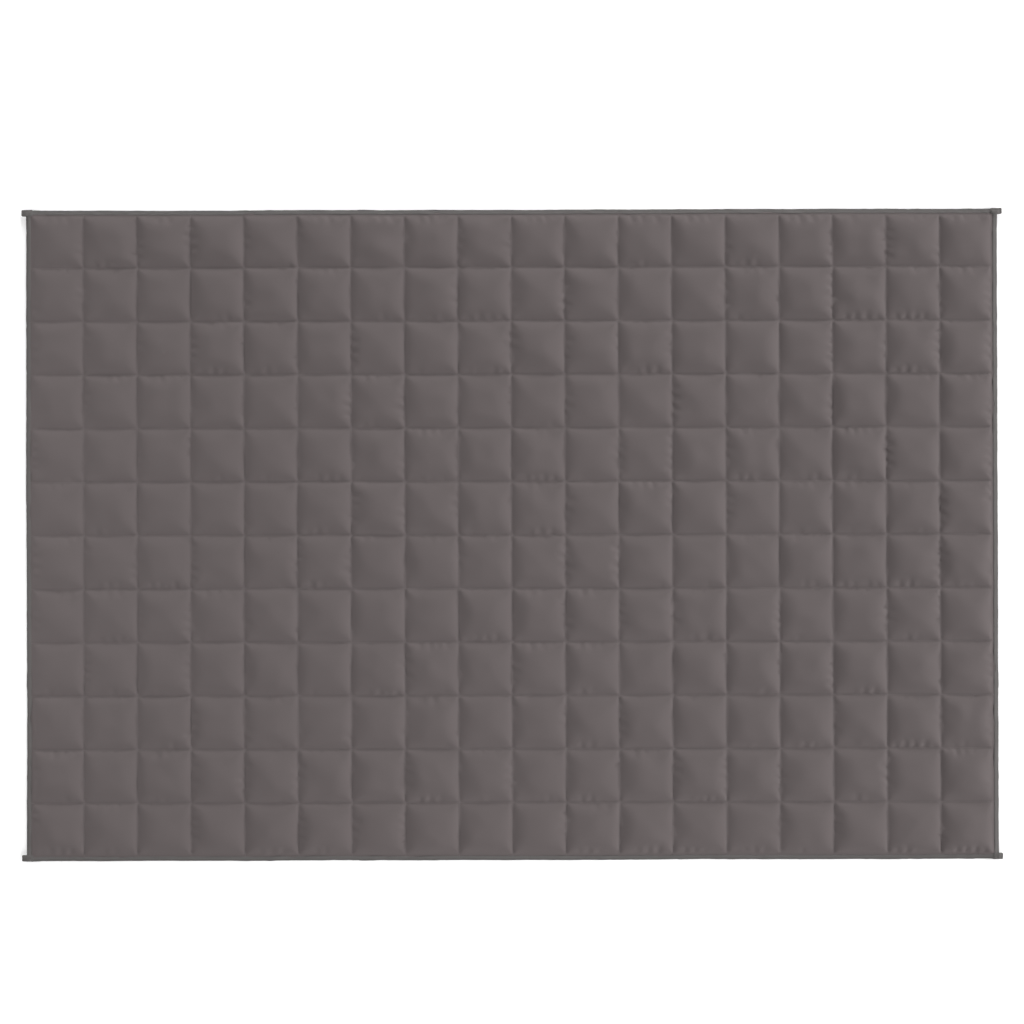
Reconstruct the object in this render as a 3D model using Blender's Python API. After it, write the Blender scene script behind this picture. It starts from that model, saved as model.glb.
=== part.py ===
"""A weighted blanket lying flat: one filled quilt sewn into squares, and four strips of tape folded
over its raw edges. The side bindings are sewn on first. The front and back bindings run over them,
and their tucked ends stick out past the sides as small tabs.

Metres, +Z up, X along the length, Y across. The origin is on the surface that the blanket lies on,
under its middle.
"""

import bmesh
import bpy

# Driving dimensions
LENGTH = 1.8  # along X over the side bindings, without the tabs
COLUMNS, ROWS = 18, 12  # quilted squares along X and Y
BINDING_WIDTH = 0.008  # what shows of a binding, from its fold to its sewn edge
TAPE = 0.001  # thickness of the folded tape
GAP = 0.0003  # between pieces that touch

# The quilt, as heights above the surface it lies on
CROWN_TOP = 0.0105
SEAM_TOP, SEAM_BOTTOM = 0.0045, 0.002  # along the seams between squares
EDGE_HALF = 0.0011  # half the thickness of the flat edge inside a binding
FLAT_FROM, FLAT_TO = 0.25, 0.75  # the part of a square that its crown and its foot take up

# The tabs, at both ends of the front and back bindings
TAB_REACH = 0.009  # past the side of the blanket
TAB_INNER = 0.012  # inwards from the side of the blanket
TAB_TAPER = 0.002  # over which a tab closes outside the side binding, and narrows on its inner end
TAB_WIDTH = 0.0123
TAB_PROUD = 0.0015  # past the fold of the plain stretch
TAB_TAPE = 0.0016  # the tape is doubled where its end is tucked in
TAB_END_MIDDLE = 0.002

# Worked out
PITCH = (LENGTH - 2 * BINDING_WIDTH) / COLUMNS
WIDTH = ROWS * PITCH + 2 * BINDING_WIDTH
PLAIN_SLOT = EDGE_HALF + GAP  # half the height inside a binding that holds only the quilt
EDGE_MIDDLE = PLAIN_SLOT + TAPE  # so that a binding lies on the surface
CORNER_SLOT = PLAIN_SLOT + TAPE + GAP  # half the height that holds a side binding too
CORNER_LIFT = CORNER_SLOT - PLAIN_SLOT
INSET = TAPE + GAP  # from a binding's fold to the raw edge inside it

CLOTH_COLOUR = (0.138, 0.119, 0.118, 1.0)
TAPE_COLOUR = (0.127, 0.112, 0.111, 1.0)


def corner_lift(distance):
    """How far a bound edge is lifted at a distance along it from the blanket's corner."""
    along = (distance - BINDING_WIDTH) / (FLAT_FROM * PITCH)
    return CORNER_LIFT * (1 - min(max(along, 0.0), 1.0))


def material(name, colour):
    """A rough cloth finish."""
    made = bpy.data.materials.new(name)
    made.use_nodes = True
    shader = made.node_tree.nodes["Principled BSDF"]
    shader.inputs["Base Color"].default_value = colour
    shader.inputs["Roughness"].default_value = 0.9
    shader.inputs["Metallic"].default_value = 0.0
    return made


def finished(name, bm, finish, collection):
    """Turns a bmesh into a named object in the collection."""
    bmesh.ops.recalc_face_normals(bm, faces=bm.faces)
    mesh = bpy.data.meshes.new(name)
    bm.to_mesh(mesh)
    bm.free()
    mesh.materials.append(finish)
    made = bpy.data.objects.new(name, mesh)
    collection.objects.link(made)
    return made


def quilt_lines(count):
    """Where the quilt's mesh has lines along one axis: (place, whether a crown reaches it). Each
    square has one at its seam and two at the sides of its flat crown, and the edge has one more."""
    half = count * PITCH / 2
    lines = [(-half - BINDING_WIDTH + INSET, False)]
    for square in range(count):
        start = square * PITCH - half
        lines += [(start, False), (start + FLAT_FROM * PITCH, True), (start + FLAT_TO * PITCH, True)]
    lines += [(half, False), (half + BINDING_WIDTH - INSET, False)]
    return lines


def quilt_heights(x_line, y_line):
    """The underside and the top of the quilt where two of its lines cross."""
    (x, x_crown), (y, y_crown) = x_line, y_line
    from_side = LENGTH / 2 - abs(x)
    from_end = WIDTH / 2 - abs(y)
    bound = min(from_side, from_end) < BINDING_WIDTH + GAP
    if bound:
        middle = EDGE_MIDDLE + corner_lift(max(from_side, from_end))
        return middle - EDGE_HALF, middle + EDGE_HALF
    if x_crown and y_crown:
        return 0.0, CROWN_TOP
    return SEAM_BOTTOM, SEAM_TOP


def quilt(finish, collection):
    """The filled body: a slab whose squares swell between their seams, flat under each square."""
    x_lines, y_lines = quilt_lines(COLUMNS), quilt_lines(ROWS)
    x_last, y_last = len(x_lines) - 1, len(y_lines) - 1
    bm = bmesh.new()
    bmesh.ops.create_grid(bm, x_segments=x_last, y_segments=y_last, size=1.0)
    place = {v: (round((v.co.x + 1) / 2 * x_last), round((v.co.y + 1) / 2 * y_last)) for v in bm.verts}
    for v, (i, j) in place.items():
        x_line, y_line = x_lines[i], y_lines[j]
        v.co = (x_line[0], y_line[0], quilt_heights(x_line, y_line)[0])
    bmesh.ops.extrude_face_region(bm, geom=bm.faces[:])
    tops = {(v.co.x, v.co.y): v for v in bm.verts if v not in place}
    for v, (i, j) in place.items():
        tops[v.co.x, v.co.y].co.z = quilt_heights(x_lines[i], y_lines[j])[1]
    return finished("quilt", bm, finish, collection)


def tape_section(fold, width, slot, tape, middle):
    """A strip of tape folded in two, cut across, as (out, up) points. Out is measured from the
    blanket's middle. fold is where its outside is, slot half the height inside it."""
    top, sewn, inside = slot + tape, fold - width, fold - tape
    outline = [
        (sewn, slot),
        (sewn, top),
        (fold - top / 2, top),
        (fold, top / 2),
        (fold, -top / 2),
        (fold - top / 2, -top),
        (sewn, -top),
        (sewn, -slot),
        (inside, -slot),
        (inside, slot),
    ]
    return [(out, middle + up) for out, up in outline]


def strip(name, stations, place, finish, collection):
    """Lofts tape sections along an edge. stations is a list of (along, section), and place turns
    (along, out, up) into a point."""
    around = len(stations[0][1])
    bm = bmesh.new()
    bmesh.ops.create_grid(bm, x_segments=len(stations) - 1, y_segments=around, size=1.0)
    for v in bm.verts:
        station = round((v.co.x + 1) / 2 * (len(stations) - 1))
        point = round((v.co.y + 1) / 2 * around) % around
        along, section = stations[station]
        v.co = place(along, *section[point])
    bmesh.ops.remove_doubles(bm, verts=bm.verts, dist=GAP / 10)
    bmesh.ops.holes_fill(bm, edges=[e for e in bm.edges if e.is_boundary])
    return finished(name, bm, finish, collection)


def mirrored(stations):
    """Stations from one end to the middle, and back along the other half."""
    return stations + [(-along, section) for along, section in reversed(stations)]


def side_binding(name, side, finish, collection):
    """A plain strip along a side, whose ends are held inside the front and back bindings."""

    def station(along):
        lift = corner_lift(WIDTH / 2 - along)
        return along, tape_section(LENGTH / 2, BINDING_WIDTH, PLAIN_SLOT, TAPE, EDGE_MIDDLE + lift)

    ends = (WIDTH / 2 - INSET, WIDTH / 2 - BINDING_WIDTH, WIDTH / 2 - BINDING_WIDTH - FLAT_FROM * PITCH)
    stations = mirrored([station(along) for along in ends])
    return strip(name, stations, lambda along, out, up: (side * out, along, up), finish, collection)


def end_binding(name, side, finish, collection):
    """A strip along the front or back, over the side bindings, with a tab at each end."""
    lifted = EDGE_MIDDLE + CORNER_LIFT
    tab = {"fold": WIDTH / 2 + TAB_PROUD, "width": TAB_WIDTH + TAB_PROUD}
    plain = {"fold": WIDTH / 2, "width": BINDING_WIDTH, "slot": PLAIN_SLOT, "tape": TAPE}
    closed = {"slot": GAP / 2, "tape": TAB_TAPE}
    inner = EDGE_MIDDLE + corner_lift(TAB_INNER)
    narrowed = TAB_INNER + TAB_TAPER
    rows = [  # distance in from the blanket's side, and the section there
        (-TAB_REACH, tape_section(**tab, **closed, middle=TAB_END_MIDDLE)),
        (-TAB_TAPER, tape_section(**tab, **closed, middle=lifted)),
        (-GAP, tape_section(**tab, slot=CORNER_SLOT, tape=TAPE, middle=lifted)),
        (BINDING_WIDTH, tape_section(**tab, slot=CORNER_SLOT, tape=TAPE, middle=lifted)),
        (TAB_INNER, tape_section(**tab, slot=inner - TAPE, tape=TAPE, middle=inner)),
        (narrowed, tape_section(**plain, middle=EDGE_MIDDLE + corner_lift(narrowed))),
        (BINDING_WIDTH + FLAT_FROM * PITCH, tape_section(**plain, middle=EDGE_MIDDLE)),
    ]
    stations = mirrored([(LENGTH / 2 - distance, section) for distance, section in rows])
    return strip(name, stations, lambda along, out, up: (along, side * out, up), finish, collection)


def main():
    """Clears the scene and models the blanket."""
    for old in list(bpy.data.objects):
        bpy.data.objects.remove(old)
    blanket = bpy.data.collections.new("weighted_blanket")
    bpy.context.scene.collection.children.link(blanket)
    quilt(material("quilt_cloth", CLOTH_COLOUR), blanket)
    for name, side in (("binding_left", -1), ("binding_right", 1)):
        side_binding(name, side, material(f"{name}_tape", TAPE_COLOUR), blanket)
    for name, side in (("binding_front", -1), ("binding_back", 1)):
        end_binding(name, side, material(f"{name}_tape", TAPE_COLOUR), blanket)


main()
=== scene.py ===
"""A weighted blanket lying flat, seen from straight above.

The quilt's two cloths are swelled between their sewn seams by a small cloth simulation, in which
every square has its own spare cloth and its own gathers. Four strips of tape bind its edges, and
rows of stitches hold the squares and the tape. Lengths are in metres unless a name ends in _mm.
"""

import logging
import math
from collections.abc import Iterator
from dataclasses import dataclass
from enum import Enum

import bmesh
import bpy
import numpy as np
from mathutils import Euler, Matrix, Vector


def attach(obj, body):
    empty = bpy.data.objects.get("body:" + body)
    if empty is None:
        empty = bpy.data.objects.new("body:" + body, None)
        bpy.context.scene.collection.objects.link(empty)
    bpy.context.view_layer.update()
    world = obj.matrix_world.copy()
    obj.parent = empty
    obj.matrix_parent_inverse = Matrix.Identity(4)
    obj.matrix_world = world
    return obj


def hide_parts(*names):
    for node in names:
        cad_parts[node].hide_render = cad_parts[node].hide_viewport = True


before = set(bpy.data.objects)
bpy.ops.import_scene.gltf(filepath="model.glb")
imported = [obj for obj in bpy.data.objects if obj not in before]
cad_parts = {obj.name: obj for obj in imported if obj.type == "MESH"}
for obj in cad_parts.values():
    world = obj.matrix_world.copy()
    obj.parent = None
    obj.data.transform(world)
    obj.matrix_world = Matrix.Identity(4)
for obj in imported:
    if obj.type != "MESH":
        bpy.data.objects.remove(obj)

log = logging.getLogger("blanket")
Points = np.ndarray  # shaped (..., 3)
MM = 0.001


# ---------------------------------------------------------------- sizes


@dataclass(frozen=True)
class Sizes:
    """The blanket's own sizes, as its solids have them."""

    length: float = 1.8
    columns: int = 18
    rows: int = 12
    binding: float = 0.008  # from a binding's fold to its seam
    tape: float = 0.001
    gap: float = 0.0003
    seam_top: float = 0.0045
    seam_bottom: float = 0.002
    edge_half: float = 0.0011  # half the thickness of the raw edge
    beside_tape_half: float = 0.00172  # where the squares swell from, beside a binding
    lift_share: float = 0.25  # the share of a square over which the corners' lift fades

    @property
    def pitch(self) -> float:
        """From seam to seam."""
        return (self.length - 2 * self.binding) / self.columns

    @property
    def width(self) -> float:
        """Across the blanket, over the bindings."""
        return self.rows * self.pitch + 2 * self.binding

    @property
    def slot(self) -> float:
        """Half the height inside a binding that holds only the quilt."""
        return self.edge_half + self.gap

    @property
    def edge_middle(self) -> float:
        """How high the middle of a bound edge lies."""
        return self.slot + self.tape

    @property
    def corner_lift(self) -> float:
        """How much higher the edges lie where two tapes overlap."""
        return self.tape + self.gap

    @property
    def lift_over(self) -> float:
        """The distance over which the lift of a corner fades."""
        return self.lift_share * self.pitch

    @property
    def half_x(self) -> float:
        """From the middle to the seam of a side binding."""
        return self.columns * self.pitch / 2

    @property
    def half_y(self) -> float:
        """From the middle to the seam of an end binding."""
        return self.rows * self.pitch / 2

    def lift(self, x: np.ndarray, y: np.ndarray) -> np.ndarray:
        """How far the blanket is lifted near its corners.

        Args:
            x: Places along the length.
            y: Places across it.

        Returns:
            The lift at each place.
        """
        near_x = 1 - np.clip((self.half_x - np.abs(x)) / self.lift_over, 0, 1)
        near_y = 1 - np.clip((self.half_y - np.abs(y)) / self.lift_over, 0, 1)
        return self.corner_lift * near_x * near_y

    def edge_height(self, inside: np.ndarray) -> np.ndarray:
        """The height of an edge's middle, by how far in from the blanket's corner each place is."""
        lifted = 1 - np.clip((inside - self.binding) / self.lift_over, 0, 1)
        return self.edge_middle + self.corner_lift * lifted

    def seam_height(self, x: np.ndarray, y: np.ndarray, face: bool) -> np.ndarray:
        """The height of the sewn lines, and of the plane that each square swells from.

        Args:
            x: Places along the length.
            y: Places across it.
            face: Whether it is the face cloth's or the back cloth's.

        Returns:
            The height at each place.
        """
        inner = self.seam_top if face else self.seam_bottom
        outer = self.edge_middle + (self.beside_tape_half if face else -self.beside_tape_half)
        inside = np.minimum(self.half_x - np.abs(x), self.half_y - np.abs(y))
        share = np.clip(inside / self.pitch, 0, 1)
        return outer + (inner - outer) * share + self.lift(x, y)


@dataclass(frozen=True)
class Wander:
    """How sewn lines stray from straight: a few long, weak waves over the whole blanket."""

    reach: float = 0.00028
    spread: float = 0.001  # how much wider it lies towards the front, for each metre
    waves: int = 14
    longest: float = 0.9
    shortest: float = 0.13
    seed: int = 5

    def move(self, points: Points) -> Points:
        """Shifts points sideways.

        Args:
            points: Places, in an array of any shape whose last axis is x, y, z.

        Returns:
            The same places, each shifted in x and y.
        """
        rng = np.random.default_rng(self.seed)
        moved = points.copy()
        for axis in (0, 1):
            for _ in range(self.waves):
                length = self.shortest * (self.longest / self.shortest) ** rng.random()
                turn, phase = rng.random(2) * 2 * math.pi
                along = points[..., 0] * math.cos(turn) + points[..., 1] * math.sin(turn)
                strength = self.reach * math.sqrt(2 / self.waves)
                moved[..., axis] += strength * np.sin(2 * math.pi * along / length + phase)
        moved[..., 0] -= self.spread * points[..., 0] * points[..., 1]
        return moved


# ---------------------------------------------------------------- cloth


@dataclass(frozen=True)
class Filling:
    """What makes one side's cloth swell: its spare cloth, its gathers and the push of the beads."""

    spare: float = 0.0022  # as a share of a square's width
    spare_varies: float = 0.0008
    gather: float = 0.024  # more spare cloth along the seams, as a share
    gather_varies: float = 0.6  # from side to side
    gather_depth_mm: float = 6.0
    bunched: float = 0.8  # how unevenly a side is gathered
    more_at_tape: float = 1.7  # how many times as gathered the cloth is beside a binding
    push: float = 0.0002
    push_varies: float = 0.4
    stiffness: float = 0.8
    shear: float = 0.3
    most_mm: float = 1000.0  # how far the cloth can rise
    pad_mm: float = 2.2  # how much further the padding lifts it
    lumps: float = 0.17
    steps: tuple[tuple[int, int], ...] = ((9, 100), (18, 150), (36, 300))
    seed: int = 1


def pairs(count: int) -> Iterator[tuple[slice, slice]]:
    """Neighbours along an axis of count points, in two lots, so that no point is twice in a lot."""
    for first in (0, 1):
        yield slice(first, count - 1, 2), slice(first + 1, count, 2)


def enlarged(values: np.ndarray, count: int) -> np.ndarray:
    """Reads a grid at more points.

    Args:
        values: Values whose last two axes are a square grid over one quilted square.
        count: How many points the new grid has along each side.

    Returns:
        The values on the new grid, read in a straight line between the old ones.
    """
    place = np.linspace(0, values.shape[-1] - 1, count)
    low = np.minimum(place.astype(int), values.shape[-1] - 2)
    share = (place - low).astype(np.float32)
    rows = values[..., low, :] * (1 - share)[:, None] + values[..., low + 1, :] * share[:, None]
    return np.ascontiguousarray(rows[..., low] * (1 - share) + rows[..., low + 1] * share)


class SwellingCloth:
    """All the squares of one side's cloth, simulated at once as points joined by threads. Each
    square's rim is held on its seams. Lengths inside are in millimetres."""

    SPREAD = 0.7  # the share of its speed that a point keeps
    ROUNDS = 2  # of pulling the threads to length, at each step
    JITTER = 0.05  # how far points are shaken at first, as a share of the distance between them
    LUMPS = 6  # waves across a square that the lumps of the filling are made of
    LUMPS_WEAKEN = 6  # the sum of two squared wave numbers at which a lump is half as strong
    PUSHES = 4  # places across a square at which the push of the beads is drawn
    BUNCHES = 7  # waves along a side that its uneven gathers are made of
    MOST_GATHERED = 0.06
    PAD_POWER = 2.5  # the higher, the flatter the middle of a square and the steeper its sides
    STEADY = 64  # the least divisor of the bends with which a stiffness of 1 stays steady
    LEAST_SPARE = 0.002

    def __init__(self, sizes: Sizes, filling: Filling, steps: tuple[tuple[int, int], ...]) -> None:
        """Draws each square's spare cloth and gathers.

        Args:
            sizes: The blanket's sizes.
            filling: What makes this cloth swell.
            steps: The grids to run on, coarse to fine, as (quads along a side, steps).
        """
        self.sizes, self.filling, self.steps = sizes, filling, steps
        self.count = sizes.columns * sizes.rows
        self.pitch_mm = sizes.pitch / MM
        self.rng = np.random.default_rng(filling.seed)
        self.spare_x, self.spare_y = self.draw_spare(), self.draw_spare()
        strength = np.exp(filling.gather_varies * self.rng.standard_normal((4, self.count, 1, 1)))
        mean = math.exp(filling.gather_varies**2 / 2)
        self.gathers = filling.gather * strength / mean
        square = np.arange(self.count)
        row, column = square // sizes.columns, square % sizes.columns
        outermost = (row == 0, row == sizes.rows - 1, column == 0, column == sizes.columns - 1)
        for side, beside_tape in enumerate(outermost):
            self.gathers[side, beside_tape] *= filling.more_at_tape
        self.bunches = self.rng.standard_normal((4, self.count, 1, self.BUNCHES))

    def draw_spare(self) -> np.ndarray:
        """Each square's spare cloth along one axis, as a share of its width."""
        drawn = self.rng.standard_normal((self.count, 1, 1)) * self.filling.spare_varies
        return (self.filling.spare + drawn).clip(self.LEAST_SPARE).astype(np.float32)

    def first_shape(self, count: int) -> np.ndarray:
        """A low dome over each square.

        Args:
            count: How many points a square has along each side.

        Returns:
            Points as (3, squares, count, count).
        """
        across = np.linspace(0, self.pitch_mm, count, dtype=np.float32)
        hump = 1 - (2 * across / self.pitch_mm - 1) ** 2
        points = np.zeros((3, self.count, count, count), np.float32)
        points[0], points[1] = across, across[:, None]
        spare = np.minimum(self.spare_x, self.spare_y)
        # A parabola this high is longer than it is wide by the spare cloth.
        points[2] = hump[:, None] * hump * self.pitch_mm * np.sqrt(3 / 8 * spare)
        return points

    def gathered(self, side: int, count: int) -> np.ndarray:
        """How strongly each thread along one side of every square is gathered.

        Args:
            side: The side, as the gathers are numbered.
            count: How many threads lie along it.

        Returns:
            Shares of a thread's length, as (squares, 1, count).
        """
        waves = np.cos(np.arange(1, self.BUNCHES + 1)[:, None] * np.linspace(0, math.pi, count))
        uneven = self.bunches[side] @ waves * math.sqrt(2 / self.BUNCHES)
        drawn = self.gathers[side] * np.exp(self.filling.bunched * uneven)
        return drawn.clip(0, self.MOST_GATHERED).astype(np.float32)

    def thread_lengths(self, count: int) -> tuple[np.ndarray, np.ndarray, np.ndarray]:
        """How long each thread is when it is slack.

        Args:
            count: How many points a square has along each side.

        Returns:
            The lengths along x, along y and across the diagonals.
        """
        step = self.pitch_mm / (count - 1)
        place = np.linspace(0, self.pitch_mm, count, dtype=np.float32)
        near = np.exp(-place / self.filling.gather_depth_mm)
        far = near[::-1]
        low, high, left, right = (self.gathered(side, count - 1) for side in range(4))
        along_x = 1 + self.spare_x + low * near[:, None] + high * far[:, None]
        along_y = 1 + self.spare_y + left.swapaxes(1, 2) * near + right.swapaxes(1, 2) * far
        along_x = step * np.broadcast_to(along_x, (self.count, count, count - 1))
        along_y = step * np.broadcast_to(along_y, (self.count, count - 1, count))
        mean_x = (along_x[:, :-1] + along_x[:, 1:]) / 2
        mean_y = (along_y[:, :, :-1] + along_y[:, :, 1:]) / 2
        return along_x, along_y, np.hypot(mean_x, mean_y)

    @staticmethod
    def pull(first: np.ndarray, second: np.ndarray, slack: np.ndarray, share: float) -> None:
        """Moves both ends of some threads so that each thread is nearer its slack length.

        Args:
            first: One end of each thread, changed in place.
            second: The other ends, changed in place.
            slack: The threads' slack lengths.
            share: How much of the error is mended.
        """
        apart = second - first
        length = np.sqrt((apart * apart).sum(0))
        apart *= 0.5 * share * (1 - slack / length)
        first += apart
        second -= apart

    def hold_rim(self, points: np.ndarray) -> None:
        """Puts each square's rim back on its seams, and keeps the cloth off what it lies on.

        Args:
            points: The cloth's points, changed in place.
        """
        across = np.linspace(0, self.pitch_mm, points.shape[-1], dtype=np.float32)
        for end, place in ((0, 0.0), (-1, self.pitch_mm)):
            points[0, :, end], points[1, :, end], points[2, :, end] = across, place, 0
            points[0, :, :, end], points[1, :, :, end], points[2, :, :, end] = place, across, 0
        np.minimum(points[2], self.filling.most_mm, out=points[2])

    def push_out(self, points: np.ndarray, push: np.ndarray) -> None:
        """Pushes the cloth outwards, square to itself.

        Args:
            points: The cloth's points, changed in place.
            push: How hard each point is pushed.
        """
        along, across = np.gradient(points, axis=3), np.gradient(points, axis=2)
        points[0] += push * (along[1] * across[2] - along[2] * across[1])
        points[1] += push * (along[2] * across[0] - along[0] * across[2])
        points[2] += push * (along[0] * across[1] - along[1] * across[0])

    @staticmethod
    def bends(at: np.ndarray) -> np.ndarray:
        """How far the four points round each inner point stray from it, summed."""
        around = at[..., 2:, 1:-1] + at[..., :-2, 1:-1] + at[..., 1:-1, 2:] + at[..., 1:-1, :-2]
        return around - 4 * at[..., 1:-1, 1:-1]

    def stiffen(self, points: np.ndarray) -> None:
        """Eases sharp bends.

        Args:
            points: The cloth's points, changed in place.
        """
        bent = np.zeros_like(points)
        bent[..., 1:-1, 1:-1] = self.bends(points)
        points[..., 1:-1, 1:-1] -= self.filling.stiffness / self.STEADY * self.bends(bent)

    def mend(self, points: np.ndarray, lengths: tuple[np.ndarray, np.ndarray, np.ndarray]) -> None:
        """One round of pulling every thread towards its slack length.

        Args:
            points: The cloth's points, changed in place.
            lengths: The threads' slack lengths, as thread_lengths gives them.
        """
        along_x, along_y, diagonal = lengths
        count = points.shape[-1]
        low, high = slice(0, count - 1), slice(1, count)
        for a, b in pairs(count):
            self.pull(points[:, :, :, a], points[:, :, :, b], along_x[:, :, a.start :: 2], 1.0)
        for a, b in pairs(count):
            self.pull(points[:, :, a], points[:, :, b], along_y[:, a.start :: 2], 1.0)
        for left, right in ((low, high), (high, low)):
            for a, b in pairs(count):
                ends = points[:, :, a, left], points[:, :, b, right]
                self.pull(*ends, diagonal[:, a.start :: 2], self.filling.shear)
        self.hold_rim(points)

    def run(self) -> np.ndarray:
        """Simulates the cloth.

        Returns:
            Points in metres as (3, squares, n, n), each square from its own lower left corner,
            rows along y, with the height above the seams.
        """
        start = self.steps[0][0] + 1
        points = self.first_shape(start)
        drawn = self.rng.standard_normal((self.count, self.PUSHES, self.PUSHES))
        uneven = enlarged(drawn.astype(np.float32), start)
        for quads, steps in self.steps:
            step = self.pitch_mm / quads
            if points.shape[-1] != quads + 1:
                points, uneven = enlarged(points, quads + 1), enlarged(uneven, quads + 1)
            shaken = self.rng.standard_normal((self.count, quads - 1, quads - 1))
            points[2, :, 1:-1, 1:-1] += (self.JITTER * step * shaken).astype(np.float32)
            push = self.filling.push / step * (1 + self.filling.push_varies * uneven)
            lengths, speed = self.thread_lengths(quads + 1), np.zeros_like(points)
            for _ in range(steps):
                before = points.copy()
                points += self.SPREAD * speed
                self.push_out(points, push)
                self.stiffen(points)
                for _ in range(self.ROUNDS):
                    self.mend(points, lengths)
                speed = points - before
        points[2] += self.pad(points.shape[-1])
        return points * MM

    def pad(self, count: int) -> np.ndarray:
        """How much higher the rounded, slightly lumpy filling holds the cloth.

        Args:
            count: How many points a square has along each side.

        Returns:
            Heights in millimetres, as (squares, count, count).
        """
        across = np.linspace(-1, 1, count)
        hump = 1 - np.abs(across) ** self.PAD_POWER
        order = np.arange(self.LUMPS)
        waves = np.cos(math.pi / 2 * order * (across[:, None] + 1))
        weaker = 1 / (1 + (order[:, None] ** 2 + order**2) / self.LUMPS_WEAKEN)
        drawn = self.rng.standard_normal((self.count, self.LUMPS, self.LUMPS)) * weaker
        uneven = self.filling.lumps * (waves @ drawn @ waves.T)
        return (self.filling.pad_mm * hump[:, None] * hump * (1 + uneven)).astype(np.float32)


# ---------------------------------------------------------------- meshes


def deselect() -> None:
    """Leaves nothing selected."""
    for item in list(bpy.context.selected_objects):
        item.select_set(False)


def only(piece: bpy.types.Object) -> None:
    """Selects one piece and nothing else, and makes it active.

    Args:
        piece: The piece.
    """
    deselect()
    piece.select_set(True)
    bpy.context.view_layer.objects.active = piece


def select_points(piece: bpy.types.Object, chosen: np.ndarray) -> None:
    """Selects some of a piece's vertices, in edit mode.

    Args:
        piece: The active piece, in edit mode.
        chosen: Whether each vertex is selected.
    """
    bpy.ops.mesh.select_mode(type="VERT")
    bpy.ops.mesh.select_all(action="DESELECT")
    bpy.ops.object.mode_set(mode="OBJECT")
    piece.data.vertices.foreach_set("select", chosen)
    bpy.ops.object.mode_set(mode="EDIT")


def grid_faces(rows: int, columns: int, first: int = 0, turned: bool = False) -> np.ndarray:
    """The quads of a grid of points.

    Args:
        rows: How many rows of points it has.
        columns: How many points a row has.
        first: The number of its first point.
        turned: Whether the quads face down instead of up.

    Returns:
        An array of quads, each four point numbers.
    """
    at = first + np.arange(rows * columns).reshape(rows, columns)
    quads = np.stack([at[:-1, :-1], at[:-1, 1:], at[1:, 1:], at[1:, :-1]], axis=-1).reshape(-1, 4)
    return quads[:, ::-1] if turned else quads


def mesh_piece(name: str, points: Points, faces: np.ndarray) -> bpy.types.Object:
    """Makes a smooth-shaded piece from arrays.

    Args:
        name: The piece's name.
        points: Its vertices, as (n, 3).
        faces: Its faces, all with as many corners, as (m, corners).

    Returns:
        The new object, at the origin.
    """
    mesh = bpy.data.meshes.new(name)
    mesh.vertices.add(len(points))
    mesh.vertices.foreach_set("co", points.astype(np.float32).ravel())
    corners = faces.shape[1]
    mesh.loops.add(faces.size)
    mesh.loops.foreach_set("vertex_index", faces.astype(np.int32).ravel())
    mesh.polygons.add(len(faces))
    mesh.polygons.foreach_set("loop_start", np.arange(0, faces.size, corners, dtype=np.int32))
    mesh.polygons.foreach_set("use_smooth", np.ones(len(faces), dtype=bool))
    mesh.update(calc_edges=True)
    mesh.validate()
    piece = bpy.data.objects.new(name, mesh)
    bpy.context.scene.collection.objects.link(piece)
    return piece


def corner_places(mesh: bpy.types.Mesh) -> tuple[np.ndarray, Points]:
    """Reads where a mesh's corners are.

    Args:
        mesh: The mesh.

    Returns:
        The vertex number of each face corner, and the place of each vertex.
    """
    corners = np.empty(len(mesh.loops), np.int32)
    mesh.loops.foreach_get("vertex_index", corners)
    points = np.empty(len(mesh.vertices) * 3, np.float32)
    mesh.vertices.foreach_get("co", points)
    return corners, points.reshape(-1, 3).astype(float)


def set_uv(mesh: bpy.types.Mesh, places: np.ndarray) -> None:
    """Adds a UV map named OFBake.

    Args:
        mesh: The mesh.
        places: A place in the map for each face corner.
    """
    layer = mesh.uv_layers.new(name="OFBake")
    layer.data.foreach_set("uv", places.astype(np.float32).ravel())


# ---------------------------------------------------------------- finishes


class Value:
    """A socket that gives a number, on which Python's operators add Math nodes."""

    def __init__(self, nodes: "Nodes", socket: bpy.types.NodeSocket) -> None:
        """Wraps a socket of a material's tree."""
        self.nodes, self.socket = nodes, socket

    def maths(self, operation: str, *values: "Value | float") -> "Value":
        """Adds a Math node.

        Args:
            operation: The node's operation.
            values: Its inputs, in order.

        Returns:
            Its result.
        """
        node = self.nodes.node("ShaderNodeMath", {"operation": operation}, dict(enumerate(values)))
        return Value(self.nodes, node.outputs[0])

    def __add__(self, other: "Value | float") -> "Value":
        """self + other."""
        return self.maths("ADD", self, other)

    __radd__ = __add__

    def __mul__(self, other: "Value | float") -> "Value":
        """self * other."""
        return self.maths("MULTIPLY", self, other)

    __rmul__ = __mul__

    def __sub__(self, other: "Value | float") -> "Value":
        """self - other."""
        return self.maths("SUBTRACT", self, other)

    def __rsub__(self, other: "Value | float") -> "Value":
        """other - self."""
        return self.maths("SUBTRACT", other, self)


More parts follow.
